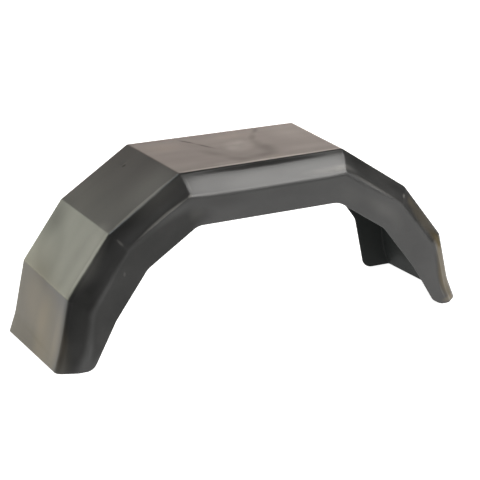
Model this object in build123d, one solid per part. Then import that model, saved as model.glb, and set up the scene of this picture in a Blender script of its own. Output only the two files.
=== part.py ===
from build123d import *
import os
from math import atan2, cos, degrees, radians, tan

# Trailer mudguard: one moulded plastic shell over a small wheel, standing on its two ends.
# X runs along the trailer, +Y points to the trailer's side, +Z is up, and the origin is on the
# floor at the middle of the bounding box. Lengths are millimetres and angles are degrees.
# The crown is the wide faceted face, the shoulder the sloping band beside it, the skirt the deep
# outer wall below the shoulder, and the back the shallower wall on the trailer's side.

# Side outline of the crown, from the top panel down to one end
length = 650.0
height = 256.0
top_length = 263.0
upper_length = 126.0
upper_slope = 33.2
middle_length = 103.5
middle_slope = 53.0
flare_height = 28.0
flare_out = 10.0

# Section across the arch
crown_width = 171.0
shoulder_out = 20.5
shoulder_drop = 29.5
skirt_depth = 70.0
back_depth = 48.0
wall = 3.0

# Free edges of the skirt and the back
skirt_knee_run = 10.0
skirt_foot_depth = 51.0
skirt_foot_radius = 14.0
skirt_bend_radius = 30.0
back_foot_radius = 18.0
back_bend_radius = 22.0

# Radii of the moulding, measured inside the shell where it has two sides
shoulder_radius = 5.0
skirt_radius = 4.0
back_radius = 2.0
crease_radius = 8.0
rim_radius = 0.9

# Places worked out from the sizes above
width = crown_width + shoulder_out
back_y = width / 2
skirt_y = -width / 2
crown_y = back_y - crown_width
rim_round = min(rim_radius, wall / 3)
overrun = height / 8
tolerance = 0.001


def outline_corners():
    """Corners of the right half of the crown's outline, from the top panel down to the floor."""
    top = Vector(top_length / 2, height)
    upper = top + Vector(upper_length, 0).rotate(Axis.Z, -upper_slope)
    middle = upper + Vector(middle_length, 0).rotate(Axis.Z, -middle_slope)
    flare = Vector(length / 2 - flare_out, flare_height)
    foot = Vector(length / 2, 0)
    return [top, upper, middle, flare, foot]


def mirrored(half):
    """Points of the left half, running up, followed by those of the right half, running down."""
    return [Vector(-p.X, p.Y) for p in reversed(half)] + list(half)


def inset_line(start, end, depth):
    """Point and direction of the line through two outline corners, moved inwards by a depth."""
    direction = (end - start).normalized()
    inwards = Vector(direction.Y, -direction.X)
    return start + inwards * depth, direction


def meet(first, second):
    """Point where two lines, each a point and a direction, cross."""
    (p, u), (q, v) = first, second
    gap = q - p
    along = (gap.X * v.Y - gap.Y * v.X) / (u.X * v.Y - u.Y * v.X)
    return p + u * along


def inset_corners(half, depth):
    """Corners of the line that keeps one depth below the top, upper, middle and end panels."""
    starts = [Vector(0, height)] + half[:3]
    lines = [inset_line(start, end, depth) for start, end in zip(starts, half)]
    return [meet(first, second) for first, second in zip(lines, lines[1:])]


def skirt_rim(half):
    """Right half of the skirt's free edge: parallel to the crown, then tapering to the foot."""
    top, upper, knee = inset_corners(half, skirt_depth)
    knee = knee + (half[2] - half[1]).normalized() * skirt_knee_run
    return [top, upper, knee, Vector(length / 2 - skirt_foot_depth, 0)]


def back_rim(half):
    """Right half of the back's free edge, which keeps its depth right down to the floor."""
    floor_line = (Vector(0, 0), Vector(1, 0))
    foot = meet(inset_line(half[2], half[3], back_depth), floor_line)
    return inset_corners(half, back_depth) + [foot]


def shell_section():
    """Closed section of the moulding, with the crown's outer face on the local X axis.

    Local X is Y of the part and local Y points outwards, so the two walls hang towards -Y.
    The inner corners are where the inner faces of the crown, shoulder and walls meet.
    """
    slope = degrees(atan2(shoulder_drop, shoulder_out))
    crown_shift = wall * tan(radians(slope / 2))
    skirt_shift = wall * tan(radians((90 - slope) / 2))
    outside = [
        (back_y, -back_depth - overrun),
        (back_y, 0),
        (crown_y, 0),
        (skirt_y, -shoulder_drop),
        (skirt_y, -skirt_depth - overrun),
    ]
    inside = [
        (skirt_y + wall, -skirt_depth - overrun),
        (skirt_y + wall, -shoulder_drop - skirt_shift),
        (crown_y + crown_shift, -wall),
        (back_y - wall, -wall),
        (back_y - wall, -back_depth - overrun),
    ]
    bends = [
        (outside[1], back_radius + wall),
        (outside[2], shoulder_radius + wall),
        (outside[3], skirt_radius + wall),
        (inside[1], skirt_radius),
        (inside[2], shoulder_radius),
        (inside[3], back_radius),
    ]
    return rounded(make_face(Polyline(*outside, *inside, close=True)), bends)


def rounded(face, bends):
    """Face with the corner at each given place rounded to its radius."""
    for place, radius in bends:
        corner = face.vertices().sort_by_distance(Vector(*place))[0]
        face = fillet(corner, radius)
    return face


def arch_path(half):
    """Line of the crown's outer face, run on below the floor at both ends."""
    flare, foot = half[-2:]
    end = foot + (foot - flare).normalized() * overrun
    return Polyline(*[(p.X, 0, p.Y) for p in mirrored(half[:-1] + [end])])


def wall_room(rim_half, bend_radius, foot_radius, reach):
    """Room that a wall may fill: all outside its free edge and above the floor, on one side of y = 0."""
    rim = mirrored(rim_half)
    frame = [(length, 0), (length, 2 * height), (-length, 2 * height), (-length, 0)]
    face = make_face(Polyline(*[(p.X, p.Y) for p in rim], *frame, close=True))
    radii = [foot_radius] + [bend_radius] * (len(rim) - 2) + [foot_radius]
    bends = [((p.X, p.Y), radius) for p, radius in zip(rim, radii)]
    return extrude(Plane.XZ * rounded(face, bends), reach)


def crease_shaving(before, corner, after):
    """Sliver outside the arc that rounds one crease of the crown, right across the shell."""
    up = (before - corner).normalized()
    down = (after - corner).normalized()
    inwards = (up + down).normalized()
    half_turn = radians((180 - up.get_angle(down)) / 2)
    reach = crease_radius * tan(half_turn)
    first = corner + up * reach
    last = corner + down * reach
    crest = corner + inwards * crease_radius * (1 / cos(half_turn) - 1)
    tip = corner - inwards * reach
    sides = Polyline((first.X, first.Y), (tip.X, tip.Y), (last.X, last.Y))
    arc = ThreePointArc((last.X, last.Y), (crest.X, crest.Y), (first.X, first.Y))
    return extrude(Plane.XZ * make_face(sides.edges() + arc.edges()), width, both=True)


def rim_edges(shell):
    """Both edges of each strip that runs across the thickness of a wall at its free edge."""
    strips = [f for f in shell.faces() if abs(f.bounding_box().size.Y - wall) < tolerance]
    edges = [e for strip in strips for e in strip.edges()]
    return [e for e in edges if e.bounding_box().size.Y < tolerance]


def mudguard():
    """The moulding: its section mitred round the arch, cut to its walls' free edges and rounded."""
    half = outline_corners()
    path = arch_path(half)
    start = Plane(origin=path @ 0, x_dir=(0, 1, 0), z_dir=path % 0)
    shell = sweep(start * shell_section(), path=path, transition=Transition.RIGHT)
    skirt_side = wall_room(skirt_rim(half), skirt_bend_radius, skirt_foot_radius, width)
    back_side = wall_room(back_rim(half), back_bend_radius, back_foot_radius, -width)
    shell = shell & (skirt_side + back_side)
    corners = mirrored(half[:4])
    for before, corner, after in zip(corners, corners[1:], corners[2:]):
        shell = shell - crease_shaving(before, corner, after)
    return fillet(rim_edges(shell), rim_round)


os.makedirs("parts", exist_ok=True)
export_step(mudguard(), "parts/mudguard.step")
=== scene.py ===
"""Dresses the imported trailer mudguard: its moulded shell, black plastic finish, studio and camera.

X runs along the trailer, +Y points to the trailer's side, +Z is up and the origin is on the floor under the
middle of the guard. The shell's own sizes are millimetres, and everything in Blender is metres.
"""

import logging
from dataclasses import dataclass, field
from enum import Enum
from math import cos, radians, sin

import bpy
import numpy as np
from mathutils import Matrix, Vector


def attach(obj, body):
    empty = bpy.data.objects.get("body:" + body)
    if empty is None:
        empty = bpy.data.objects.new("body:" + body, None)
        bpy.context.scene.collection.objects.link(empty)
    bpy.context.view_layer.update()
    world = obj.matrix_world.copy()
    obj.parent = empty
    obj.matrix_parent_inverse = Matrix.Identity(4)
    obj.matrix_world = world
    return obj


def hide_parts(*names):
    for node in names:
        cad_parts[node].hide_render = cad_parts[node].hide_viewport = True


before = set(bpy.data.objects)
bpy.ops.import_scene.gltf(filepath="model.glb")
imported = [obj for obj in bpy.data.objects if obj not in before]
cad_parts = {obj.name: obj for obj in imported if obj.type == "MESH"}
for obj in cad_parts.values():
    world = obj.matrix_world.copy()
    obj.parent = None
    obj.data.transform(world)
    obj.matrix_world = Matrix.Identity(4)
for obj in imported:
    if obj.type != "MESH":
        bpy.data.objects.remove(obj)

Points = np.ndarray
Socket = bpy.types.NodeSocket
Feed = Socket | float | tuple[float, ...]
Pair = tuple[float, float]
Pairs = tuple[Pair, ...]

MM = 0.001
log = logging.getLogger("mudguard")

# What the mesh's own layers that the plastic reads are called
INSIDE = "inside"
UNROLLED = "unrolled"

# Places along a run: shares of the cosine step and of the even step, how many places lie finely round a
# detail, and how far the others keep off it in reaches
CROWDING = 0.8
EVENNESS = 0.2
FINE_PLACES = 13
FINE_CLEARANCE = 1.15

# Places along each straight of a free edge, and steps round each of its bends
EDGE_RUN_PLACES = 40
EDGE_BEND_STEPS = 20

# Factor that brings the fullest height of a bow to one
BOW_TO_ONE = 27.0 / 4.0

# Height in metres of the point that the lights are turned to
AIM_HEIGHT = 0.12


def unit(vectors: Points) -> Points:
    """Vectors brought to length one, along the last axis."""
    return vectors / np.linalg.norm(vectors, axis=-1, keepdims=True)


def run_along(line: Points) -> Points:
    """The distance run along a line of points at each of them, from 0 at the first."""
    return np.concatenate([[0.0], np.cumsum(np.linalg.norm(np.diff(line, axis=0), axis=1))])


def eased(values: Points) -> Points:
    """Values from 0 to 1 with a smooth start and end: three squares less two cubes."""
    held = np.clip(values, 0.0, 1.0)
    return held * held * (3.0 - 2.0 * held)


def spread(steps: int, fine_at: float | None = None, fine_reach: float = 0.0) -> Points:
    """Shares from 0 to 1 along a straight run, closer together at both ends.

    The share is four fifths of the cosine step, which is half of one less the cosine of the even step,
    and one fifth of the even step itself.

    Args:
        steps: Number of steps along the run.
        fine_at: A share round which extra places are wanted.
        fine_reach: How far the extra places go on each side of it.

    Returns:
        The shares in rising order, with 0 and 1 among them.
    """
    even = np.linspace(0.0, 1.0, steps + 1)
    shares = CROWDING * (0.5 - 0.5 * np.cos(np.pi * even)) + EVENNESS * even
    if fine_at is None:
        return shares
    outside = shares[np.abs(shares - fine_at) > fine_reach * FINE_CLEARANCE]
    inside = fine_at + fine_reach * np.linspace(-1.0, 1.0, FINE_PLACES)
    return np.sort(np.concatenate([outside, inside]))


@dataclass
class BentLine:
    """A line through corners whose bends are rounded, written so that it can be inset by any depth.

    Each place is the sum: anchor, less depth times miter, plus the bends' radii times swing. On a straight
    run the anchor and the miter pass evenly from one corner's to the next, and the swing takes off the
    stretches that the rounding at its two ends uses. On a bend the anchor and the miter are the corner's,
    and the swing is the turning normal less the miter. The line also notes the number of the place in the
    middle of each bend, and whether the bend bulges outwards, 1, or inwards, -1.

    Args:
        corners: The corners in order, one row each.
        runs: For each straight run, the shares at which it has places.
        bend_steps: Number of steps round each bend.
        floor_ends: Whether the first and last miters run along the floor, and not square to the line.
    """

    corners: Points
    runs: list[Points]
    bend_steps: int
    floor_ends: bool = False
    anchor: Points = field(init=False)
    miter: Points = field(init=False)
    swing: Points = field(init=False)
    middles: list[int] = field(init=False)
    bulge: Points = field(init=False)

    def __post_init__(self) -> None:
        """Works out the anchor, the miter and the swing of every place."""
        along = unit(np.diff(self.corners, axis=0))
        normal = np.stack([-along[:, 1], along[:, 0]], axis=1)
        before, after = normal[:-1], normal[1:]
        share = 1.0 + np.sum(before * after, axis=1)
        turn = before[:, 1] * after[:, 0] - before[:, 0] * after[:, 1]
        self.bulge = np.where(turn >= 0.0, 1.0, -1.0)
        inner = (before + after) / share[:, None]
        tangent = np.concatenate([[0.0], np.abs(turn) / share, [0.0]])
        first, last = normal[0], normal[-1]
        if self.floor_ends:
            first = first - along[0] * first[1] / along[0][1]
            last = last - along[-1] * last[1] / along[-1][1]
        miters = np.vstack([first, inner, last])
        self.place_all(along, normal, tangent, miters)

    def place_all(self, along: Points, normal: Points, tangent: Points, miters: Points) -> None:
        """Strings the places of all runs and bends together.

        Args:
            along: Direction of each run.
            normal: Outward normal of each run.
            tangent: For each corner, the stretch of run that a bend of radius one uses.
            miters: For each corner, its shift for an inset of one.
        """
        count = len(self.corners)
        anchors, shifts, swings, self.middles = [], [], [], []
        total = 0
        for k, shares in enumerate(self.runs):
            t = shares[:, None]
            swing = np.zeros((len(shares), count, 2))
            swing[:, k] = (1.0 - t) * along[k] * tangent[k]
            swing[:, k + 1] = -t * along[k] * tangent[k + 1]
            anchors.append((1.0 - t) * self.corners[k] + t * self.corners[k + 1])
            shifts.append((1.0 - t) * miters[k] + t * miters[k + 1])
            swings.append(swing)
            total += len(shares)
            if k + 1 < len(self.runs):
                part = np.linspace(0.0, 1.0, self.bend_steps + 1)[1:-1, None]
                turning = unit((1.0 - part) * normal[k] + part * normal[k + 1])
                swing = np.zeros((len(part), count, 2))
                swing[:, k + 1] = self.bulge[k] * (turning - miters[k + 1])
                anchors.append(np.broadcast_to(self.corners[k + 1], (len(part), 2)))
                shifts.append(np.broadcast_to(miters[k + 1], (len(part), 2)))
                swings.append(swing)
                self.middles.append(total + (self.bend_steps - 1) // 2)
                total += len(part)
        self.anchor = np.concatenate(anchors)
        self.miter = np.concatenate(shifts)
        self.swing = np.concatenate(swings)

    def places(self, depth: Points, radii: Points) -> Points:
        """Places of the line at given insets.

        Args:
            depth: Inset of each place, with the places on the first axis and any rows on the second.
            radii: Radius of each corner's bend for each place and row, with the corners on the last axis.

        Returns:
            The places, with their two coordinates on the last axis.
        """
        radii = np.broadcast_to(radii, depth.shape + radii.shape[-1:])
        swung = np.einsum("pkc,prk->prc", self.swing, radii)
        return self.anchor[:, None] - depth[..., None] * self.miter[:, None] + swung


@dataclass
class FreeEdge:
    """The free edge of a wall with the stretch of floor at both its feet, as one rounded line.

    The line is followed finely once, a little inside the wall, and then read by the distance run along it.

    Args:
        corners: Corners of the line, from one end of the floor stretch to the other.
        radii: Radius of the bend at each inner corner.
        drawn_back: How far inside the wall the line runs, with its bends keeping their centres.
    """

    corners: Points
    radii: tuple[float, ...]
    drawn_back: float
    line: Points = field(init=False)
    run: Points = field(init=False)
    bends: Points = field(init=False)

    def __post_init__(self) -> None:
        """Follows the line and notes how far along it the middle of each bend lies."""
        straights = [np.linspace(0.0, 1.0, EDGE_RUN_PLACES)] * (len(self.corners) - 1)
        bent = BentLine(self.corners, straights, EDGE_BEND_STEPS)
        radii = np.array([0.0, *self.radii, 0.0])
        radii[1:-1] += self.drawn_back * bent.bulge
        self.line = bent.places(np.full((len(bent.anchor), 1), -self.drawn_back), radii)[:, 0]
        self.run = run_along(self.line)
        self.bends = self.run[bent.middles]

    def at(self, run: Points) -> Points:
        """Places at the given distances along the line."""
        return np.stack([np.interp(run, self.run, self.line[:, c]) for c in range(2)], axis=-1)


def edge_loop(columns: int, rows: int) -> tuple[Points, Points]:
    """Column and row numbers once round the edge of a grid.

    Args:
        columns: Number of columns of the grid.
        rows: Number of rows of the grid.

    Returns:
        The column numbers and the row numbers, starting at the first of both.
    """
    first, last = np.arange(columns - 1), np.arange(rows - 1)
    right, bottom = columns - 1, rows - 1
    column = np.concatenate([first, np.full(bottom, right), right - first, np.zeros(bottom, int)])
    row = np.concatenate([np.zeros(right, int), last, np.full(right, bottom), bottom - last])
    return column, row


def grid_quads(index: Points) -> Points:
    """Four vertex numbers for each square of a grid of vertex numbers."""
    corners = [index[:-1, :-1], index[:-1, 1:], index[1:, 1:], index[1:, :-1]]
    return np.stack(corners, axis=-1).reshape(-1, 4)


def mesh_object(name: str, points: Points, quads: Points) -> bpy.types.Object:
    """Puts arrays of points and squares into a new smooth-shaded object.

    Args:
        name: Name of the object and its mesh.
        points: Vertex places in metres.
        quads: Four vertex numbers a face.

    Returns:
        The object, linked to the scene at the origin.
    """
    mesh = bpy.data.meshes.new(name)
    mesh.vertices.add(len(points))
    mesh.vertices.foreach_set("co", points.astype(np.float32).ravel())
    mesh.loops.add(quads.size)
    mesh.loops.foreach_set("vertex_index", quads.astype(np.int32).ravel())
    mesh.polygons.add(len(quads))
    mesh.polygons.foreach_set("loop_start", np.arange(0, quads.size, 4, dtype=np.int32))
    mesh.polygons.foreach_set("use_smooth", np.ones(len(quads), dtype=bool))
    mesh.update(calc_edges=True)
    mesh.validate()
    made = bpy.data.objects.new(name, mesh)
    bpy.context.scene.collection.objects.link(made)
    return made


class Tint(Enum):
    """The plastic's and the studio's colours, as linear red, green and blue."""

    PLASTIC = (0.016, 0.016, 0.0155)
    INNER_SKIN = (0.024, 0.026, 0.025)
    FILM = (0.054, 0.053, 0.052)
    # Pale colour of painted highlights and sheen, and of a few pale specks and patches
    PALE_MARK_AND_HIGHLIGHT = (0.255, 0.248, 0.228)
    BROWN_DIRT = (0.197, 0.155, 0.085)
    PAPER = (0.88, 0.88, 0.88)
    WHITE_LIGHT = (1.0, 1.0, 1.0)
    WARM_LIGHT = (1.0, 0.850, 0.760)
    GREEN_LIGHT = (0.985, 1.0, 0.850)
    GREY_LIGHT = (1.0, 0.985, 0.960)
    STRAW_LIGHT = (1.0, 0.950, 0.700)
    COOL_LIGHT = (0.910, 0.975, 1.0)

    def rgba(self) -> tuple[float, float, float, float]:
        """The colour with full opacity."""
        return (*self.value, 1.0)


class MarkKind(Enum):
    """What a mark on the plastic is."""

    # Painted highlights and sheen, and a few pale specks and patches
    PALE = "pale"
    DULL = "dull"
    BROWN = "brown"


@dataclass(frozen=True)
class Mark:
    """One soft-edged mark on the unrolled skin: an ellipse in mm, turned by an angle.

    Args:
        mark_kind: What the mark is.
        along: Run of its middle along the arch, from the middle of the arch.
        across: Run of its middle across the crown, from the shoulder's edge towards the back.
        half_long: Half its length.
        half_wide: Half its width.
        turn: Degrees from the run along the arch.
        amount: How strongly it shows, from 0 to 1.
        firmness: Share of the ellipse that has its full strength, from 0 to 1.
    """

    mark_kind: MarkKind
    along: float
    across: float
    half_long: float
    half_wide: float
    turn: float = 0.0
    amount: float = 0.5
    firmness: float = 0.0


def marks(mark_kind: MarkKind, *rows: tuple[float, ...]) -> tuple[Mark, ...]:
    """Marks of one kind from rows that hold all their other settings in order."""
    return tuple(Mark(mark_kind, *row) for row in rows)


MARKS = (
    *marks(
        MarkKind.PALE,
        # Pale patch in the middle of the top panel
        (4.0, 86.0, 42.0, 28.0, 61.0, 0.38, 0.4),
        (-8.0, 80.0, 18.0, 12.0, 40.0, 0.14, 0.2),
        (7.0, 98.0, 14.0, 9.0, 70.0, 0.14, 0.2),
        (16.0, 106.0, 16.0, 8.0, 60.0, 0.14),
        # Right and left parts of the top panel
        (92.0, 34.0, 70.0, 26.0, 0.0, 0.34),
        (104.0, 118.0, 44.0, 54.0, 0.0, 0.30),
        (-100.0, 30.0, 34.0, 26.0, 10.0, 0.14),
        (-56.0, 15.0, 34.0, 11.0, 0.0, 0.20),
        # Painted highlight along the front edge of the top panel
        (-4.0, 5.0, 150.0, 5.6, 0.0, 0.56, 0.45),
        # Painted sheen on the upper and middle left panels
        (-166.0, 26.0, 82.0, 62.0, 20.0, 0.24),
        (-306.0, 18.0, 62.0, 38.0, 6.0, 0.38),
        (-272.0, 24.0, 32.0, 30.0, 0.0, 0.28, 0.1),
        # Pale speck on the left skirt, and a painted highlight on the crease between the upper and middle
        # left panels' shoulders
        (-291.5, -51.9, 5.0, 2.6, 24.0, 0.10, 0.3),
        (-258.3, -19.5, 9.5, 2.0, 84.0, 0.16, 0.3),
        # Painted highlights along the fold between shoulder and skirt, left and right
        (-186.0, -35.0, 66.0, 4.4, 0.0, 0.36, 0.3),
        (196.0, -34.5, 66.0, 3.4, 0.0, 0.20, 0.2),
        # Painted sheen on the shoulder under the top panel, and painted highlights on its creases
        (108.0, -28.0, 60.0, 8.0, 0.0, 0.30),
        (124.0, -30.0, 12.0, 7.0, 0.0, 0.24, 0.2),
        (-129.5, -18.0, 14.0, 2.6, 90.0, 0.12),
        (-134.0, -35.0, 4.6, 4.0, 0.0, 0.42, 0.2),
        # Skirt
        (-134.0, -60.0, 18.0, 14.0, 0.0, 0.06),
        (150.0, -60.0, 44.0, 18.0, 0.0, 0.04),
        (230.0, -56.0, 70.0, 14.0, 0.0, 0.07),
        # Painted highlight on the crease between the upper and middle right panels' shoulders
        (257.0, -18.5, 2.6, 6.0, 0.0, 0.36, 0.2),
        # Right foot: a painted highlight along its shoulder, and a pale streak on its skirt
        (436.0, -10.0, 40.0, 3.6, -6.0, 0.20, 0.2),
        (440.0, -42.0, 26.0, 2.6, 4.0, 0.14),
        # Painted highlights along the front edge of the crown, left and right
        (-200.0, 3.4, 70.0, 4.6, 0.0, 0.46, 0.4),
        (-308.0, 5.5, 60.0, 6.0, 0.0, 0.44, 0.3),
        (195.0, 0.0, 72.0, 1.8, 0.0, 0.24, 0.2),
    ),
    *marks(
        MarkKind.DULL,
        # Streak on the left part of the top panel
        (-54.0, 139.5, 22.0, 4.4, -65.0, 0.72, 0.3),
        (-40.0, 107.0, 27.0, 4.6, -67.0, 0.66, 0.2),
        (-52.0, 118.0, 52.0, 19.0, -64.0, 0.20),
        (-46.0, 68.0, 38.0, 17.0, -60.0, 0.46),
        # Crescent round the pale patch
        (62.0, 150.0, 20.0, 6.6, 56.0, 0.60, 0.1),
        (44.0, 121.0, 27.0, 8.4, 64.0, 0.50, 0.1),
        (36.0, 92.0, 26.0, 12.0, 74.0, 0.36),
        (36.0, 60.0, 34.0, 21.0, 84.0, 0.60, 0.1),
        (30.0, 34.0, 34.0, 20.0, 30.0, 0.26),
        (8.0, 27.0, 42.0, 14.0, 10.0, 0.40, 0.1),
        (-27.0, 28.0, 24.0, 14.0, -40.0, 0.40, 0.2),
        (24.0, 128.0, 26.0, 12.0, 30.0, 0.16),
        # Shade under the top panel's front edge
        (-2.0, -5.0, 140.0, 4.8, 0.0, 0.80, 0.4),
        # Left skirt
        (-280.0, -65.0, 190.0, 29.0, 0.0, 0.60, 0.72),
        # Left shoulder, from the foot up
        (-400.0, -18.0, 96.0, 34.0, 0.0, 0.70, 0.5),
        (-302.0, -18.0, 70.0, 20.0, 0.0, 0.38, 0.3),
        (-158.0, -16.0, 34.0, 18.0, 0.0, 0.24, 0.1),
        (-198.0, -10.0, 84.0, 18.0, 0.0, 0.34, 0.3),
        # Right shoulder
        (192.0, -14.0, 76.0, 20.0, 0.0, 0.52, 0.5),
        # Skirt
        (-84.0, -48.0, 76.0, 18.0, 0.0, 0.22, 0.1),
        (310.0, -62.0, 150.0, 28.0, 0.0, 0.10, 0.4),
        # Dimple
        (-165.5, 122.2, 4.4, 4.4, 0.0, 0.72, 0.3),
        # Left panels
        (-322.0, 122.0, 84.0, 44.0, 49.0, 0.20, 0.45),
        (-276.0, 150.0, 52.0, 46.0, 0.0, 0.36),
        (-412.0, 106.0, 92.0, 108.0, 0.0, 0.33, 0.45),
        (-449.0, 70.0, 74.0, 5.0, 85.0, 0.16),
        # Right leg
        (265.0, -17.0, 5.0, 8.0, 0.0, 0.40),
        (322.0, -12.0, 62.0, 24.0, 0.0, 0.36, 0.4),
        (408.0, -22.0, 88.0, 27.0, 0.0, 0.88, 0.55),
    ),
    *marks(
        MarkKind.BROWN,
        # Top panel
        (-98.0, 126.0, 44.0, 34.0, 0.0, 0.16),
        (14.0, 140.0, 46.0, 24.0, 0.0, 0.16),
        (30.0, 14.0, 26.0, 12.0, 0.0, 0.14),
        # Left end
        (-398.0, 98.0, 62.0, 58.0, 30.0, 0.18, 0.2),
        (-520.0, 150.0, 235.0, 185.0, 0.0, 0.42, 0.5),
        (-428.0, 47.0, 88.0, 52.0, 0.0, 0.30, 0.4),
        (-425.0, 14.0, 84.0, 18.0, 0.0, 0.20, 0.3),
        # Right leg and foot
        (276.0, -14.0, 16.0, 11.0, 0.0, 0.14),
        (318.0, -14.0, 64.0, 22.0, 0.0, 0.14, 0.3),
        (412.0, -22.0, 78.0, 24.0, 0.0, 0.34, 0.5),
        (366.0, -18.0, 16.0, 24.0, 0.0, 0.08, 0.2),
        (461.0, -30.0, 30.0, 8.0, 86.0, 0.30),
    ),
)


class NodeSheet:
    """Short ways to add nodes to one material's tree."""

    def __init__(self, tree: bpy.types.NodeTree) -> None:
        """Keeps the tree that the nodes go to."""
        self.nodes = tree.nodes
        self.links = tree.links

    def put(self, socket: Socket, value: Feed) -> None:
        """Feeds a socket from another one, or sets it to a constant.

        Args:
            socket: The socket to feed.
            value: Another socket, a number or a colour.
        """
        if isinstance(value, Socket):
            self.links.new(value, socket)
        else:
            socket.default_value = value

    def maths(self, operation: str, first: Feed, second: Feed = 0.0, held: bool = False) -> Socket:
        """Adds one sum of two values.

        Args:
            operation: Blender's name of the operation.
            first: A socket or a number.
            second: A socket or a number.
            held: Whether the result is kept from 0 to 1.

        Returns:
            The result's socket.
        """
        made = self.nodes.new("ShaderNodeMath")
        made.operation = operation
        made.use_clamp = held
        self.put(made.inputs[0], first)
        self.put(made.inputs[1], second)
        return made.outputs[0]

    def span(self, value: Feed, ends: Pair, results: Pair = (0.0, 1.0)) -> Socket:
        """Carries a range of values smoothly onto another range.

        Args:
            value: A socket.
            ends: The low and the high end of the values, with all below and above them.
            results: The results at the low and at the high end.

        Returns:
            The result's socket.
        """
        made = self.nodes.new("ShaderNodeMapRange")
        made.interpolation_type = "SMOOTHSTEP"
        self.put(made.inputs["Value"], value)
        for name, number in zip(("From Min", "From Max", "To Min", "To Max"), (*ends, *results)):
            made.inputs[name].default_value = number
        return made.outputs["Result"]

    def noise(
        self, place: Socket, scale: float, detail: float,
        stretch: tuple[float, float, float] = (1.0, 1.0, 1.0),
    ) -> bpy.types.Node:
        """Adds a cloudy noise.

        Args:
            place: Coordinates in metres.
            scale: Clouds to a metre.
            detail: Octaves of finer clouds.
            stretch: Factor of each coordinate, above one for clouds squeezed that way.

        Returns:
            The noise node.
        """
        squeezed = self.nodes.new("ShaderNodeMapping")
        squeezed.inputs["Scale"].default_value = stretch
        made = self.nodes.new("ShaderNodeTexNoise")
        made.inputs["Scale"].default_value = scale
        made.inputs["Detail"].default_value = detail
        self.links.new(place, squeezed.inputs["Vector"])
        self.links.new(squeezed.outputs["Vector"], made.inputs["Vector"])
        return made

    def blend(self, share: Feed, first: Feed, second: Feed) -> Socket:
        """Blends two colours.

        Args:
            share: How much of the second colour there is.
            first: A colour or its socket.
            second: A colour or its socket.

        Returns:
            The blended colour's socket.
        """
        made = self.nodes.new("ShaderNodeMix")
        made.data_type = "RGBA"
        self.put(made.inputs["Factor"], share)
        self.put(made.inputs["A"], first)
        self.put(made.inputs["B"], second)
        return made.outputs["Result"]

    def ellipse(self, place: Socket, mark: Mark) -> Socket:
        """The share of a mark at each place: full in its middle and nothing outside it.

        Args:
            place: The unrolled coordinates in metres.
            mark: The mark.

        Returns:
            The share's socket.
        """
        local = self.nodes.new("ShaderNodeMapping")
        local.vector_type = "TEXTURE"
        local.inputs["Location"].default_value = (mark.along * MM, mark.across * MM, 0.0)
        local.inputs["Rotation"].default_value = (0.0, 0.0, radians(mark.turn))
        local.inputs["Scale"].default_value = (mark.half_long * MM, mark.half_wide * MM, 1.0)
        fall = self.nodes.new("ShaderNodeTexGradient")
        fall.gradient_type = "SPHERICAL"
        self.links.new(place, local.inputs["Vector"])
        self.links.new(local.outputs["Vector"], fall.inputs["Vector"])
        return self.span(fall.outputs["Fac"], (0.0, 1.0 - mark.firmness), (0.0, mark.amount))


@dataclass(frozen=True)
class Shares:
    """What the plastic's finish is mixed from: sockets that hold a share from 0 to 1 at every place.

    Args:
        inner: Share of the inner skin.
        outer: Share of the outer skin, one less the inner's.
        clouds: Soft clouds of the film.
        wiped: Streaks along the arch.
        marked: Share of each kind of mark on the outer skin.
    """

    inner: Socket
    outer: Socket
    clouds: Socket
    wiped: Socket
    marked: dict[MarkKind, Socket]


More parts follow.
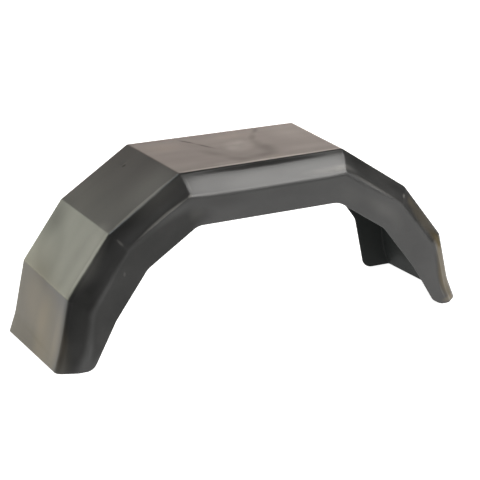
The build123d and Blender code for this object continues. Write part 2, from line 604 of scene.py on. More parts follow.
@dataclass(frozen=True)
class BlackPlastic:
    """Black moulded plastic with a satin skin, a thin uneven film, the marks of its years in use, and pale
    marks that are painted highlights and sheen.

    The skin's finish and its marks are laid out on the shell's unrolled coordinates, so that they follow
    its folds. The inner skin is duller and darker. Scales are clouds to a metre.

    Args:
        marks: The marks on the outer skin.
        roughness: Roughness of the outer skin where it is cleanest.
        inner_roughness: Roughness of the inner skin.
        gloss: How strongly the outer skin mirrors.
        inner_gloss: How strongly the inner skin does.
        cloud_scale: Scale of the film's soft clouds.
        cloud_ends: Cloud values between which the roughness changes.
        cloud_roughening: What the clouds add to the roughness at those ends.
        wipe_scale: Scale of the streaks along the arch, as left by wiping.
        wipe_stretch: How the streaks' coordinates are squeezed.
        wipe_ends: Streak values between which the finish changes.
        wipe_roughening: What the streaks add to the roughness at those ends.
        wipe_gloss: Factor of the gloss at those ends.
        wipe_film: Share of the film that the streaks leave at those ends.
        film_ends: Cloud values between which the film appears.
        film_amount: How strongly the film shows.
        dull_roughening: What a full dull mark adds to the roughness.
        pale_roughening: What a full pale mark adds to it.
        raggedness: How far the marks' outlines are shaken, in metres.
        shake_scale: Scale of that shaking.
        grain_scale: Scale of the mould's grain.
        grain_height: Height of the grain in metres.
        grain_strength: How strongly the grain shows.
    """

    marks: tuple[Mark, ...] = MARKS
    roughness: float = 0.30
    inner_roughness: float = 0.55
    gloss: float = 0.5
    inner_gloss: float = 0.08
    cloud_scale: float = 9.0
    cloud_ends: Pair = (0.30, 0.70)
    cloud_roughening: Pair = (-0.01, 0.03)
    wipe_scale: float = 7.0
    wipe_stretch: tuple[float, float, float] = (1.0, 6.0, 1.0)
    wipe_ends: Pair = (0.30, 0.75)
    wipe_roughening: Pair = (-0.008, 0.02)
    wipe_gloss: Pair = (1.04, 0.94)
    wipe_film: Pair = (0.35, 1.0)
    film_ends: Pair = (0.35, 0.70)
    film_amount: float = 0.45
    dull_roughening: float = 0.05
    pale_roughening: float = 0.10
    raggedness: float = 0.0016
    shake_scale: float = 30.0
    grain_scale: float = 900.0
    grain_height: float = 0.00002
    grain_strength: float = 0.35

    def build(self) -> bpy.types.Material:
        """Makes the material.

        Returns:
            The material.
        """
        made = bpy.data.materials.new("black_moulded_plastic")
        made.use_nodes = True
        sheet = NodeSheet(made.node_tree)
        shader = made.node_tree.nodes["Principled BSDF"]
        flat = sheet.nodes.new("ShaderNodeUVMap")
        flat.uv_map = UNROLLED
        solid = sheet.nodes.new("ShaderNodeTexCoord").outputs["Object"]
        within = sheet.nodes.new("ShaderNodeAttribute")
        within.attribute_name = INSIDE
        inner = within.outputs["Fac"]
        outer = sheet.maths("SUBTRACT", 1.0, inner)
        ragged = self.ragged(sheet, flat.outputs["UV"], solid)
        marked = {mark_kind: sheet.maths("MULTIPLY", self.summed(sheet, ragged, mark_kind), outer) for mark_kind in MarkKind}
        clouds = sheet.noise(solid, self.cloud_scale, detail=4.0)
        wiped = sheet.noise(flat.outputs["UV"], self.wipe_scale, detail=1.5, stretch=self.wipe_stretch)
        shares = Shares(inner, outer, clouds.outputs["Fac"], wiped.outputs["Fac"], marked)
        sheet.put(shader.inputs["Base Color"], self.colour(sheet, shares))
        sheet.put(shader.inputs["Roughness"], self.dullness(sheet, shares))
        sheet.put(shader.inputs["Specular IOR Level"], self.shine(sheet, shares))
        self.grain(sheet, solid, shader)
        return made

    def colour(self, sheet: NodeSheet, shares: Shares) -> Socket:
        """The plastic's colour under its film, its brown dirt, and its pale marks, which are painted
        highlights and sheen and a few pale specks and patches.

        Args:
            sheet: The material's nodes.
            shares: The shares of the skins, the clouds, the streaks and the marks.

        Returns:
            The colour's socket.
        """
        cloudy = sheet.span(shares.clouds, self.film_ends)
        film = sheet.maths("MULTIPLY", cloudy, sheet.span(shares.wiped, self.wipe_ends, self.wipe_film))
        film = sheet.maths("MULTIPLY", sheet.maths("MULTIPLY", film, shares.outer), self.film_amount)
        colour = sheet.blend(shares.inner, Tint.PLASTIC.rgba(), Tint.INNER_SKIN.rgba())
        colour = sheet.blend(film, colour, Tint.FILM.rgba())
        colour = sheet.blend(shares.marked[MarkKind.BROWN], colour, Tint.BROWN_DIRT.rgba())
        return sheet.blend(shares.marked[MarkKind.PALE], colour, Tint.PALE_MARK_AND_HIGHLIGHT.rgba())

    def dullness(self, sheet: NodeSheet, shares: Shares) -> Socket:
        """The roughness: the skin's own, and what clouds, streaks, marks and the inner side add.

        Args:
            sheet: The material's nodes.
            shares: The shares of the skins, the clouds, the streaks and the marks.

        Returns:
            The roughness's socket.
        """
        least, most = self.cloud_roughening
        clouded = sheet.span(shares.clouds, self.cloud_ends, (self.roughness + least, self.roughness + most))
        rough = sheet.maths("ADD", clouded, sheet.span(shares.wiped, self.wipe_ends, self.wipe_roughening))
        for share, added, held in (
            (shares.marked[MarkKind.DULL], self.dull_roughening, False),
            (shares.marked[MarkKind.PALE], self.pale_roughening, False),
            (shares.inner, self.inner_roughness - self.roughness, True),
        ):
            rough = sheet.maths("ADD", rough, sheet.maths("MULTIPLY", share, added), held=held)
        return rough

    def shine(self, sheet: NodeSheet, shares: Shares) -> Socket:
        """How strongly the skin mirrors: less inside, less on dull marks, and uneven by the streaks.

        Args:
            sheet: The material's nodes.
            shares: The shares of the skins, the clouds, the streaks and the marks.

        Returns:
            The gloss's socket.
        """
        lost = sheet.maths("MULTIPLY", shares.inner, self.gloss - self.inner_gloss)
        clean = sheet.maths("SUBTRACT", 1.0, shares.marked[MarkKind.DULL], held=True)
        gloss = sheet.maths("MULTIPLY", sheet.maths("SUBTRACT", self.gloss, lost), clean)
        streaks = sheet.span(shares.wiped, self.wipe_ends, self.wipe_gloss)
        return sheet.maths("MULTIPLY", gloss, streaks, held=True)

    def ragged(self, sheet: NodeSheet, flat: Socket, solid: Socket) -> Socket:
        """The unrolled coordinates, shaken a little by noise so that no mark has a clean outline.

        Args:
            sheet: The material's nodes.
            flat: The unrolled coordinates.
            solid: The object's own coordinates.

        Returns:
            The shaken coordinates' socket.
        """
        shake = sheet.noise(solid, self.shake_scale, detail=1.0).outputs["Color"]
        centred = sheet.nodes.new("ShaderNodeVectorMath")
        centred.operation = "MULTIPLY_ADD"
        sheet.links.new(shake, centred.inputs[0])
        centred.inputs[1].default_value = (2.0 * self.raggedness, 2.0 * self.raggedness, 0.0)
        centred.inputs[2].default_value = (-self.raggedness, -self.raggedness, 0.0)
        moved = sheet.nodes.new("ShaderNodeVectorMath")
        moved.operation = "ADD"
        sheet.links.new(flat, moved.inputs[0])
        sheet.links.new(centred.outputs[0], moved.inputs[1])
        return moved.outputs[0]

    def summed(self, sheet: NodeSheet, place: Socket, mark_kind: MarkKind) -> Socket:
        """All marks of one kind together, kept from 0 to 1.

        Args:
            sheet: The material's nodes.
            place: The shaken coordinates.
            mark_kind: The kind of mark.

        Returns:
            The share's socket.
        """
        total: Feed = 0.0
        for mark in self.marks:
            if mark.mark_kind is mark_kind:
                total = sheet.maths("ADD", total, sheet.ellipse(place, mark), held=True)
        return sheet.maths("ADD", total, 0.0, held=True)

    def grain(self, sheet: NodeSheet, solid: Socket, shader: bpy.types.Node) -> None:
        """Gives the skin the fine grain of its mould, well under a tenth of a millimetre high.

        Args:
            sheet: The material's nodes.
            solid: The object's own coordinates.
            shader: The node that takes the grain's normals.
        """
        pebbles = sheet.noise(solid, self.grain_scale, detail=2.0).outputs["Fac"]
        bump = sheet.nodes.new("ShaderNodeBump")
        bump.inputs["Strength"].default_value = self.grain_strength
        bump.inputs["Distance"].default_value = self.grain_height
        sheet.links.new(pebbles, bump.inputs["Height"])
        sheet.links.new(bump.outputs["Normal"], shader.inputs["Normal"])


@dataclass(frozen=True)
class Corner:
    """A bend of the crown's outline, as along and up in mm at its front and its back edge."""

    front: Pair
    back: Pair


@dataclass
class MudguardShell:
    """The one moulded piece: back wall, faceted crown, sloping shoulder and skirt, with a rounded rim.

    The outer face is a grid. One way it follows the arch from the left foot to the right foot, and the
    other way it follows the section from the back wall's free edge over the crown to the skirt's. A place
    is a point of the section, with its depth below the crown, carried along the arch's outline inset by
    that depth. The inner face is the same grid with the section inset by the wall.

    Sizes are millimetres and angles degrees. A size that changes along the arch is given as rows of a
    place along it and the size there. The moulding is a little uneven, and those rows hold that too.
    """

    # The crown's outline, and the radii of its creases at the crown and at the skirt
    outline: tuple[Corner, ...] = (
        Corner(front=(-323.4, 0.0), back=(-324.6, 0.0)),
        Corner(front=(-314.8, 29.1), back=(-314.7, 28.2)),
        Corner(front=(-298.4, 100.0), back=(-298.8, 105.4)),
        Corner(front=(-236.4, 184.8), back=(-239.0, 188.0)),
        Corner(front=(-131.5, 256.4), back=(-135.3, 255.7)),
        Corner(front=(125.7, 258.7), back=(135.3, 255.0)),
        Corner(front=(232.9, 187.5), back=(236.7, 186.5)),
        Corner(front=(297.2, 105.1), back=(297.2, 104.1)),
        Corner(front=(314.1, 32.9), back=(308.8, 28.8)),
        Corner(front=(328.4, 0.0), back=(319.9, 0.0)),
    )
    crease_radii: tuple[float, ...] = (0.0, 90.0, 8.0, 7.0, 7.0, 7.0, 7.0, 8.0, 90.0, 0.0)
    shoulder_crease_radii: tuple[float, ...] = (0.0, 90.0, 40.0, 14.0, 9.0, 9.0, 14.0, 40.0, 90.0, 0.0)

    # The section: where the back, the crown's front edge and the skirt stand, and depths below the crown
    back_y: float = 95.75
    crown_y: float = -75.25
    skirt_y: float = -95.75
    shoulder_drop: float = 29.5
    back_top_depth: float = 14.0
    skirt_top_depth: float = 36.3
    wall: float = 3.0
    rim_radius: float = 1.2

    # Radii of the long edges at the back, between crown and shoulder, and between shoulder and skirt
    back_edge_radius: float = 5.0
    shoulder_edge_bends: Pairs = (
        (-323.0, 13.0), (-300.0, 9.5), (-237.0, 7.5), (-134.0, 6.0), (-115.0, 4.6),
        (20.0, 4.4), (120.0, 4.2), (233.0, 4.5), (300.0, 5.0), (326.0, 6.0),
    )
    skirt_edge_bends: Pairs = (
        (-323.0, 20.0), (-300.0, 18.0), (-240.0, 12.0), (-200.0, 9.0), (-140.0, 9.0), (-108.0, 14.0),
        (110.0, 15.0), (145.0, 19.0), (170.0, 17.0), (200.0, 12.0), (233.0, 8.0), (300.0, 15.0),
        (326.0, 20.0),
    )

    # How far the skirt's upper edge is raised, and how full the shoulder bows
    skirt_edge_lifts: Pairs = (
        (-326.0, 1.2), (-300.0, 2.0), (-290.0, 2.6), (-240.0, 4.2), (-200.0, 4.8), (-165.0, 4.2),
        (-150.0, 3.0), (-131.5, 0.6), (-100.0, -1.5), (-43.0, -2.0), (38.0, -1.8), (100.0, -1.8),
        (125.7, -0.6), (145.0, 1.0), (165.0, 1.8), (198.0, 3.2), (232.0, 4.8), (290.0, 5.5),
        (303.0, 9.0), (326.0, 10.0),
    )
    shoulder_bows: Pairs = (
        (-324.0, 0.0), (-298.0, 0.6), (-160.0, 0.8), (-131.5, 0.36), (-105.0, 0.5), (-75.0, 0.68),
        (-40.0, 0.88), (0.0, 1.0), (100.0, 0.95), (200.0, 0.6),
    )

    # How high the lip along the top panel's front edge stands, and how far it reaches over the panel
    lips: Pairs = ((-131.5, 0.1), (-116.0, 0.5), (111.0, 0.5), (125.7, 0.1))
    lip_reach: float = 9.0

    # How far the crown can widen at the left foot, and the share of it that there is
    foot_widening: float = 10.0
    foot_widths: Pairs = (
        (-324.0, 0.9), (-311.0, 0.84), (-304.0, 0.5), (-298.4, 0.22), (-285.0, 0.0),
    )

    # How far the creases have slid along the arch by the time they reach the skirt
    crease_slides: Pairs = (
        (-190.0, 0.0), (-131.5, -1.5), (-90.0, 0.0), (60.0, 0.0), (125.7, 4.0), (232.9, 0.0),
    )

    # The walls' free edges, with the radii of their bends
    skirt_edge: Pairs = (
        (-272.0, 0.0), (-236.9, 67.1), (-189.2, 134.0), (-113.0, 184.5),
        (110.5, 186.3), (187.3, 135.8), (241.5, 66.8), (282.6, 0.0),
    )
    skirt_edge_radii: tuple[float, ...] = (17.0, 30.0, 28.0, 26.0, 34.0, 28.0, 30.0, 4.0)
    back_edge: Pairs = (
        (-271.0, 0.0), (-253.5, 83.0), (-205.5, 146.0), (-115.0, 208.0),
        (119.0, 207.0), (206.1, 146.4), (252.2, 84.5), (270.6, 0.0),
    )
    back_edge_radii: tuple[float, ...] = (18.0, 22.0, 22.0, 22.0, 22.0, 22.0, 22.0, 18.0)

    # How near a foot the walls bend towards the floor, and how the right toe is rounded
    foot_reach: float = 45.0
    toe_lift: float = 11.0
    toe_reach: float = 15.0
    toe_fade: float = 42.0

    # The dimple in the upper left panel, the height that it stays above, the slope of that panel, and how
    # far extra places reach round it along the facet and across the crown, as shares
    dimple_place: Pair = (-159.0, 52.4)
    dimple_radius: float = 2.6
    dimple_depth: float = 0.2
    dimple_above: float = 150.0
    dimple_slope: float = 33.2
    dimple_shares: Pair = (0.045, 0.028)

    # Steps of the grid along each facet, over each part of the section, round each bend and down each
    # wall, the facet that has the dimple, and the turns round the rim
    arch_steps: tuple[int, ...] = (8, 14, 18, 20, 36, 20, 18, 14, 8)
    dimple_facet: int = 3
    section_steps: tuple[int, ...] = (3, 26, 12, 4)
    bend_steps: int = 8
    wall_steps: int = 12
    rim_turns: tuple[float, ...] = (25.0, 50.0, 70.0, 90.0)

    # The finish
    plastic: BlackPlastic = BlackPlastic()

    def arch_runs(self) -> list[Points]:
        """Shares along each of the nine facets of the crown, from foot to foot.

        Returns:
            One array for each facet, with extra places where the dimple is.
        """
        low, high = (corner.front[0] for corner in self.outline[self.dimple_facet : self.dimple_facet + 2])
        runs = [spread(steps) for steps in self.arch_steps]
        share = (self.dimple_place[0] - low) / (high - low)
        runs[self.dimple_facet] = spread(self.arch_steps[self.dimple_facet], share, self.dimple_shares[0])
        return runs

    def section_runs(self) -> list[Points]:
        """Shares along the straight parts of the section, from the back wall to the skirt.

        Returns:
            One array for each part, with extra places over the crown where the dimple is.
        """
        share = (self.back_y - self.dimple_place[1]) / (self.back_y - self.crown_y)
        back, crown, shoulder, skirt = self.section_steps
        return [spread(back), spread(crown, share, self.dimple_shares[1]), spread(shoulder), spread(skirt)]

    def arches(self) -> tuple[BentLine, BentLine]:
        """The crown's outline at its two edges, with its feet drawn up by the rim's radius.

        Returns:
            The line of the back edge and the line of the front edge.
        """
        lines = []
        for edge in ([c.back for c in self.outline], [c.front for c in self.outline]):
            corners = np.array(edge)
            for foot, flare in ((0, 1), (-1, -2)):
                corners[foot] += (corners[flare] - corners[foot]) * self.rim_radius / corners[flare][1]
            lines.append(BentLine(corners, self.arch_runs(), self.bend_steps, floor_ends=True))
        return lines[0], lines[1]

    def section(self, widening: float = 0.0) -> BentLine:
        """The section through the crown, as across and up, with up measured from the crown's outer face.

        Args:
            widening: How far the crown's front edge is moved out towards the skirt.

        Returns:
            The section's line.
        """
        corners = [
            (self.back_y, -self.back_top_depth),
            (self.back_y, 0.0),
            (self.crown_y - widening, 0.0),
            (self.skirt_y, -self.shoulder_drop),
            (self.skirt_y, -self.skirt_top_depth),
        ]
        flipped = np.array([(-y, up) for y, up in corners])
        return BentLine(flipped, self.section_runs(), self.bend_steps)

    @staticmethod
    def set_along(arch: BentLine, settings: Pairs) -> Points:
        """A size of a long edge at each place of the arch, read between the places where it is set."""
        stations = np.array(settings)
        return np.interp(arch.anchor[:, 0], stations[:, 0], stations[:, 1])

    def band(self, inset: float) -> Points:
        """The part of the shell over the crown, from the top of the back wall to the top of the skirt.

        A place over the crown lies between the outline at the back and the one at the front by its share
        of the way across. Raising the skirt's edge takes its lift, times the share of the way down the
        shoulder, off the depth. The lip takes off its height times the square of the share of its reach
        that is left. A slid crease moves along by its slide times the share of the way down the shoulder.

        Args:
            inset: 0 for the outer face and the wall's thickness for the inner one.

        Returns:
            Points in mm on a grid, with the arch on the first axis and the section on the second.
        """
        back, front = self.arches()
        sharp = np.zeros(len(front.anchor))
        radii = np.stack([
            sharp,
            sharp + self.back_edge_radius - inset,
            self.set_along(front, self.shoulder_edge_bends) - inset,
            self.set_along(front, self.skirt_edge_bends) - inset,
            sharp,
        ], axis=1)
        plain, wide = (
            line.anchor[None] - inset * line.miter[None] + np.einsum("rkc,pk->prc", line.swing, radii)
            for line in (self.section(), self.section(self.foot_widening))
        )
        places = plain + self.set_along(front, self.foot_widths)[:, None, None] * (wide - plain)
        bows = self.set_along(front, self.shoulder_bows)
        places = places + bows[:, None, None] * self.bowed(places.shape[1])
        across, depth = -places[..., 0], -places[..., 1]
        share = np.clip((self.back_y - across) / (self.back_y - self.crown_y), 0.0, 1.0)
        step = np.clip((self.crown_y - across) / (self.crown_y - self.skirt_y), 0.0, 1.0)
        creases = np.array(self.crease_radii) + step[..., None] * (
            np.array(self.shoulder_crease_radii) - np.array(self.crease_radii)
        )
        creases = np.maximum(creases - inset, 0.0)
        lip = np.clip(1.0 - (across - self.crown_y) / self.lip_reach, 0.0, 1.0) ** 2 * (1.0 - step)
        depth = depth - self.set_along(front, self.skirt_edge_lifts)[:, None] * step
        depth = depth - self.set_along(front, self.lips)[:, None] * lip
        at_back = back.places(depth, creases)
        at_front = front.places(depth, creases)
        at_front[..., 0] += self.set_along(front, self.crease_slides)[:, None] * step
        place = at_back + share[..., None] * (at_front - at_back)
        return np.stack([place[..., 0], across, place[..., 1]], axis=-1)

    def bowed(self, rows: int) -> Points:
        """A bow of the shoulder by one millimetre, which is fullest a third of the way down.

        The bow is square to the shoulder's straight part. Its height is the share of the way down times the
        square of the share that is left. That is 4/27 where it is fullest, and it is brought to one there.

        Args:
            rows: Number of places in the section.

        Returns:
            The shift of each place, as across and up.
        """
        shares = self.section_runs()[2]
        start = self.section().middles[1] + self.bend_steps // 2
        slope = unit(np.array([self.shoulder_drop, self.crown_y - self.skirt_y]))
        bow = BOW_TO_ONE * shares * (1.0 - shares) ** 2
        shift = np.zeros((rows, 2))
        shift[start : start + len(shares)] = bow[:, None] * slope
        return shift

    def wall_face(self, top: Points, edge: FreeEdge, steps: int, y: float) -> Points:
        """One face of a wall, between its top line and its free edge.

        Each place lies between the top line and the free edge by its share of the way down. Near a foot
        the column is bent onto the floor and the first half of the foot's rounding.

        Args:
            top: The top line, as along and up, one point for each place of the arch.
            edge: The free edge with its floor stretches, which starts and ends at the top line's ends.
            steps: Number of steps from the top line to the free edge.
            y: Where the wall's face stands across the guard.

        Returns:
            Points in mm, with the arch on the first axis and the way down on the second.
        """
        arch = self.arches()[1]
        run = run_along(top)
        bends = [0, *arch.middles[1:-1], len(run) - 1]
        along = np.interp(run, run[bends], edge.bends)
        foot = edge.at(along)
        down = spread(steps)[None, :, None]
        face = (1.0 - down) * top[:, None] + down * foot[:, None]
        for end, start, stop in ((0, 0.0, edge.bends[0]), (-1, edge.run[-1], edge.bends[-1])):
            column = edge.at(start + spread(steps) * (stop - start))
            near = 1.0 - eased(np.abs(run - run[end]) / self.foot_reach)
            face = face + near[:, None, None] * (column - face[end])[None]
        across = np.full(face.shape[:2] + (1,), y)
        return np.concatenate([face[..., :1], across, face[..., 1:]], axis=-1)

    def face(self, inset: float) -> Points:
        """The whole outer or inner face as one grid.

        Args:
            inset: 0 for the outer face and the wall's thickness for the inner one.

        Returns:
            Points in mm, with the arch on the first axis and the section on the second.
        """
        band = self.band(inset)
        walls = []
        for column, corners, radii, y in (
            (band[:, 0], self.back_edge, self.back_edge_radii, self.back_y - inset),
            (band[:, -1], self.skirt_edge, self.skirt_edge_radii, self.skirt_y + inset),
        ):
            top = column[:, [0, 2]]
            ends = (top[0, 0], 0.0), (top[-1, 0], 0.0)
            edge = FreeEdge(np.array([ends[0], *corners, ends[1]]), radii, self.rim_radius)
            walls.append(self.wall_face(top, edge, self.wall_steps, y))
        back, skirt = walls
        return self.with_toe(np.concatenate([back[:, :0:-1], band, skirt[:, 1:]], axis=1))

    def with_toe(self, face: Points) -> Points:
        """Rounds the toe of the right foot, which reaches past the narrow skirt into the shoulder.

        Places slide up along the skirt's free edge. The slide is the lift times the square of the share of
        the reach that is left, and it fades out with height.

        Args:
            face: The points of the outer or inner face.

        Returns:
            The same grid with the toe rounded.
        """
        knee, foot = np.array(self.skirt_edge[-2]), np.array(self.skirt_edge[-1])
        lean = (knee[0] - foot[0]) / (knee[1] - foot[1])
        run = face[..., 0] - foot[0] - lean * face[..., 2]
        share = np.clip(1.0 - np.maximum(run, 0.0) / self.toe_reach, 0.0, 1.0)
        rise = self.toe_lift * share**2 * (1.0 - eased(face[..., 2] / self.toe_fade))
        rise = rise * (face[..., 1] < self.crown_y) * (face[..., 0] > 0.0)
        return face + np.stack([lean * rise, np.zeros_like(rise), rise], axis=-1)

    def with_dimple(self, outer: Points) -> Points:
        """The outer face with its small dimple: a bell of depth that falls off with distance.

        The depth is the dimple's times e to the power of less the fourth power of the distance in radii.

        Args:
            outer: The outer face's points.

        Returns:
            The same grid with the dimple pressed in along the face's normal.
        """
        x, y = self.dimple_place
        gap = np.hypot((outer[..., 0] - x) / cos(radians(self.dimple_slope)), outer[..., 1] - y)
        bell = np.exp(-((gap / self.dimple_radius) ** 4))
        depth = self.dimple_depth * bell * (outer[..., 2] > self.dimple_above)
        return outer - depth[..., None] * self.normals(outer)

    @staticmethod
    def normals(grid: Points) -> Points:
        """Outward normals of a grid: the cross product of its steps along the section and the arch.

        Args:
            grid: Points, with the arch on the first axis and the section on the second.

        Returns:
            A vector of length one for each point.
        """
        along = np.gradient(grid, axis=0)
        down = np.gradient(grid, axis=1)
        return unit(np.cross(down, along))

    def rim(self, outer: Points, inner: Points) -> Points:
        """The rounded strip between the edges of the two faces, all round the shell.

        The faces end one rim radius short of the free edge. The strip turns a quarter round from the outer
        face to the edge's flat, and another quarter to the inner face. Outwards is the cross product of
        the edge's own direction and the direction through the wall.

        Args:
            outer: The outer face's points.
            inner: The inner face's points.

        Returns:
            The points of the strip, with the edge's places on the first axis.
        """
        loop = edge_loop(*outer.shape[:2])
        out, into = outer[loop], inner[loop]
        along = unit(np.roll(out, -1, axis=0) - np.roll(out, 1, axis=0))
        through = unit(into - out)
        outwards = unit(np.cross(along, through))
        r = self.rim_radius
        turn = np.radians(self.rim_turns)[None, :, None]
        rise = r * np.sin(turn) * outwards[:, None]
        away = r * (1.0 - np.cos(turn)) * through[:, None]
        outer_half = out[:, None] + rise + away
        inner_half = (into[:, None] + rise - away)[:, ::-1]
        return np.concatenate([outer_half, inner_half], axis=1)

    @staticmethod
    def quads(grid: tuple[int, int], strip: tuple[int, int]) -> Points:
        """Vertex numbers of every face: the outer grid, the inner grid turned round, and the rim's strip.

        Args:
            grid: Number of places along the arch and over the section.
            strip: Number of places along the rim and round it.

        Returns:
            Four vertex numbers for each face.
        """
        columns, rows = grid
        count = columns * rows
        index = np.arange(count).reshape(columns, rows)
        edge = index[edge_loop(columns, rows)][:, None]
        rim = 2 * count + np.arange(strip[0] * strip[1]).reshape(strip)
        strips = np.concatenate([edge, rim, edge + count], axis=1)
        strips = np.concatenate([strips, strips[:1]])
        return np.concatenate([
            grid_quads(index),
            grid_quads(index + count)[:, ::-1],
            grid_quads(strips)[:, ::-1],
        ])

    def lay_out(self, made: bpy.types.Object, outer: Points, strip: Points) -> None:
        """Gives the mesh what its finish reads: how far inside a place is, and the unrolled coordinates.

        The first is 0 on the outer face and 1 on the inner one, and passes evenly from 0 to 1 round the rim.

        Args:
            made: The shell's object.
            outer: The outer face's points.
            strip: The rim's points.
        """
        count = outer.shape[0] * outer.shape[1]
        round_rim = np.tile(np.linspace(0.0, 1.0, strip.shape[1]), len(strip))
        inside = np.concatenate([np.zeros(count), np.ones(count), round_rim])
        inner_mark = made.data.attributes.new(INSIDE, "FLOAT", "POINT")
        inner_mark.data.foreach_set("value", inside.astype(np.float32))
        flat = self.unrolled(outer)
        along_rim = np.repeat(flat[edge_loop(*outer.shape[:2])], strip.shape[1], axis=0)
        flat = np.concatenate([flat.reshape(-1, 2), flat.reshape(-1, 2), along_rim])
        corners = np.empty(len(made.data.loops), np.int32)
        made.data.loops.foreach_get("vertex_index", corners)
        layer = made.data.uv_layers.new(name=UNROLLED)
        layer.data.foreach_set("uv", (flat[corners] * MM).astype(np.float32).ravel())

    def build(self) -> bpy.types.Object:
        """Makes the shell's closed mesh and its object, and dresses it.

        Returns:
            The object.
        """
        outer = self.with_dimple(self.face(0.0))
        inner = self.face(self.wall)
        strip = self.rim(outer, inner)
        points = np.concatenate([face.reshape(-1, 3) for face in (outer, inner, strip)])
        made = mesh_object("mudguard_shell", points * MM, self.quads(outer.shape[:2], strip.shape[:2]))
        self.lay_out(made, outer, strip)
        self.dress(made)
        return made

    def dress(self, shell: bpy.types.Object) -> None:
        """Gives the shell its plastic, and puts it in the place of the CAD's mudguard.

        Args:
            shell: The shell's object.
        """
        shell.data.materials.append(self.plastic.build())
        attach(shell, "root")
        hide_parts("mudguard")

    def unrolled(self, outer: Points) -> Points:
        """Flat coordinates of the outer face in mm, for the finish.

        The first is the length run along the middle of the crown from the middle of the arch. The second is
        the length run over the section at the middle of the arch, from the shoulder's edge towards the back.

        Args:
            outer: The outer face's points.

        Returns:
            The two coordinates of every place.
        """
        section = self.section()
        edge_row = self.wall_steps + section.middles[1]
        crown_row = self.wall_steps + (section.middles[0] + section.middles[1]) // 2
        along, down = (run_along(line) for line in (outer[:, crown_row], outer[len(outer) // 2]))
        along = along - np.interp(0.0, outer[:, crown_row, 0], along)
        down = down[edge_row] - down
        return np.stack(np.meshgrid(along, down, indexing="ij"), axis=-1)


@dataclass(frozen=True)
class SoftBox:
    """A large soft studio light, placed by the direction that it shines from.

    Args:
        name: Name of the light.
        azimuth: Degrees from behind the guard (+Y), clockwise seen from above.
        elevation: Degrees above the floor.
        distance: Metres from the middle of the guard.
        width: Metres across.
        height: Metres from its lower to its upper edge.
        power: Watts.
        tint: Colour of its light.
    """

    name: str
    azimuth: float
    elevation: float
    distance: float
    width: float
    height: float
    power: float
    tint: Tint = Tint.WHITE_LIGHT

    def build(self) -> bpy.types.Object:
        """Makes the light and turns it to the middle of the guard.

        Returns:
            The light's object.
        """
        lamp = bpy.data.lights.new(self.name, "AREA")
        lamp.shape = "RECTANGLE"
        lamp.size = self.width
        lamp.size_y = self.height
        lamp.energy = self.power
        lamp.color = self.tint.value
        made = bpy.data.objects.new(self.name, lamp)
        bpy.context.scene.collection.objects.link(made)
        a, e = radians(self.azimuth), radians(self.elevation)
        away = Vector((sin(a) * cos(e), cos(a) * cos(e), sin(e)))
        made.location = away * self.distance + Vector((0.0, 0.0, AIM_HEIGHT))
        made.rotation_euler = away.to_track_quat("Z", "Y").to_euler()
        made.visible_camera = False
        return made


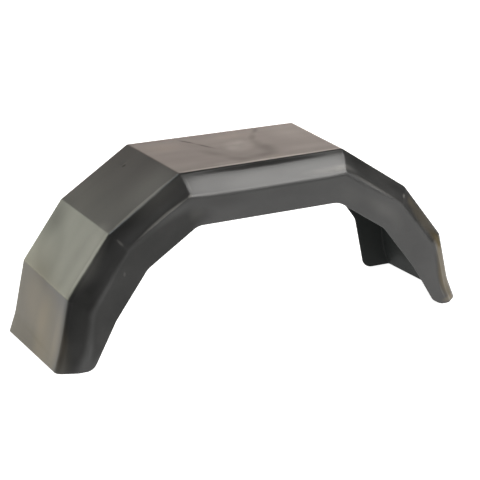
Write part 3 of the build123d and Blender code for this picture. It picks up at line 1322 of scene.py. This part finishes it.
@dataclass
class Studio:
    """A pale floor, soft boxes and a dim room.

    Args:
        floor_half: Half the floor's side in metres.
        glow_middle: Middle of the lit part of the paper, in metres.
        glow_reach: Radius at which the paper's light ends.
        glow_full: Radius up to which it is full.
        glow_strength: Its strength there.
        room_strength: Strength of the room's even light.
        lights: The soft boxes.
    """

    floor_half: float = 9.0
    glow_middle: Pair = (0.55, 0.90)
    glow_reach: float = 1.9
    glow_full: float = 1.6
    glow_strength: float = 0.97
    room_strength: float = 0.10
    lights: tuple[SoftBox, ...] = (
        SoftBox("back_paper", 20.0, 17.0, 4.2, 5.0, 1.9, 33.0, Tint.WARM_LIGHT),
        SoftBox("back_low", 20.0, 3.5, 4.4, 5.0, 0.35, 36.0, Tint.WARM_LIGHT),
        SoftBox("left_panel", -28.0, 15.0, 3.4, 1.6, 1.8, 27.5, Tint.GREEN_LIGHT),
        SoftBox("left_low", -40.0, 6.0, 3.4, 1.6, 0.7, 8.0, Tint.STRAW_LIGHT),
        SoftBox("left_arch", -35.0, 50.0, 3.4, 1.4, 0.7, 18.0, Tint.COOL_LIGHT),
        SoftBox("front_key", 144.0, 32.5, 3.2, 2.0, 1.6, 84.0, Tint.GREY_LIGHT),
        SoftBox("front_low", 152.0, 10.0, 3.6, 5.0, 0.7, 20.0),
        SoftBox("front_left", -150.0, 28.0, 3.4, 1.6, 1.2, 5.0),
    )

    def floor(self) -> bpy.types.Object:
        """Makes the pale floor, a flat square.

        Returns:
            The floor's object.
        """
        h = self.floor_half
        points = np.array([(-h, -h, 0.0), (h, -h, 0.0), (h, h, 0.0), (-h, h, 0.0)])
        made = mesh_object("floor", points, np.array([[0, 1, 2, 3]]))
        paper = bpy.data.materials.new("pale_paper")
        paper.use_nodes = True
        shader = paper.node_tree.nodes["Principled BSDF"]
        shader.inputs["Base Color"].default_value = Tint.PAPER.rgba()
        shader.inputs["Roughness"].default_value = 1.0
        shader.inputs["Specular IOR Level"].default_value = 0.0
        shader.inputs["Emission Color"].default_value = Tint.WHITE_LIGHT.rgba()
        self.glow(paper.node_tree, shader.inputs["Emission Strength"])
        made.data.materials.append(paper)
        return made

    def glow(self, tree: bpy.types.NodeTree, socket: Socket) -> None:
        """Lights the paper from below round the guard, as on a light table.

        The glow is full inside a circle and falls smoothly to nothing at a wider one.

        Args:
            tree: The paper's nodes.
            socket: The socket that takes the strength.
        """
        place = tree.nodes.new("ShaderNodeTexCoord")
        centred = tree.nodes.new("ShaderNodeMapping")
        centred.inputs["Scale"].default_value = (1.0 / self.glow_reach,) * 3
        x, y = self.glow_middle
        centred.inputs["Location"].default_value = (-x / self.glow_reach, -y / self.glow_reach, 0.0)
        round_fall = tree.nodes.new("ShaderNodeTexGradient")
        round_fall.gradient_type = "SPHERICAL"
        level = tree.nodes.new("ShaderNodeMapRange")
        level.interpolation_type = "SMOOTHSTEP"
        level.inputs["From Max"].default_value = 1.0 - self.glow_full / self.glow_reach
        level.inputs["To Max"].default_value = self.glow_strength
        tree.links.new(place.outputs["Object"], centred.inputs["Vector"])
        tree.links.new(centred.outputs["Vector"], round_fall.inputs["Vector"])
        tree.links.new(round_fall.outputs["Fac"], level.inputs["Value"])
        tree.links.new(level.outputs["Result"], socket)

    def room(self) -> None:
        """Gives the world its dim even light."""
        world = bpy.data.worlds.new("room")
        world.use_nodes = True
        background = world.node_tree.nodes["Background"]
        background.inputs["Color"].default_value = Tint.WHITE_LIGHT.rgba()
        background.inputs["Strength"].default_value = self.room_strength
        bpy.context.scene.world = world

    def build(self) -> None:
        """Makes the floor, the room and every light."""
        self.floor()
        self.room()
        for light in self.lights:
            light.build()
        scene = bpy.context.scene
        scene.view_settings.view_transform = "Standard"
        scene.view_settings.look = "None"


@dataclass(frozen=True)
class PhotographCamera:
    """The camera at the photograph's viewing angle.

    Args:
        place: Where it stands, in metres.
        azimuth: Degrees that it looks to the right of +Y.
        elevation: Degrees that it looks down.
        roll: Degrees that it is turned about its own line of sight.
        lens: Focal length in mm.
        sensor: Width of its sensor in mm.
        reach: Metres up to which it sees.
    """

    place: tuple[float, float, float] = (-1.13613, -2.19010, 0.97035)
    azimuth: float = 27.437
    elevation: float = 19.069
    roll: float = 0.265
    lens: float = 134.772
    sensor: float = 36.0
    reach: float = 60.0

    def build(self) -> bpy.types.Object:
        """Makes the camera and hands it to the scene.

        Returns:
            The camera's object.
        """
        a, e, r = radians(self.azimuth), radians(self.elevation), radians(self.roll)
        forward = Vector((sin(a) * cos(e), cos(a) * cos(e), -sin(e)))
        right = Vector((cos(a), -sin(a), 0.0))
        up = right.cross(forward)
        right, up = cos(r) * right + sin(r) * up, cos(r) * up - sin(r) * right
        lens = bpy.data.cameras.new("photograph_camera")
        lens.lens = self.lens
        lens.sensor_width = self.sensor
        lens.clip_end = self.reach
        made = bpy.data.objects.new("photograph_camera", lens)
        turned = Matrix((right, up, -forward)).transposed().to_4x4()
        made.matrix_world = Matrix.Translation(self.place) @ turned
        bpy.context.scene.collection.objects.link(made)
        bpy.context.scene.camera = made
        return made


def main() -> None:
    """Builds the studio, the camera and the dressed guard, and logs the shell's vertex and face counts."""
    logging.basicConfig(level=logging.INFO, format="%(name)s: %(message)s")
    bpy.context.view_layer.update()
    PhotographCamera().build()
    Studio().build()
    shell = MudguardShell().build()
    mesh = shell.data
    log.info("%s: %d vertices, %d faces", shell.name, len(mesh.vertices), len(mesh.polygons))


if __name__ == "__main__":
    main()
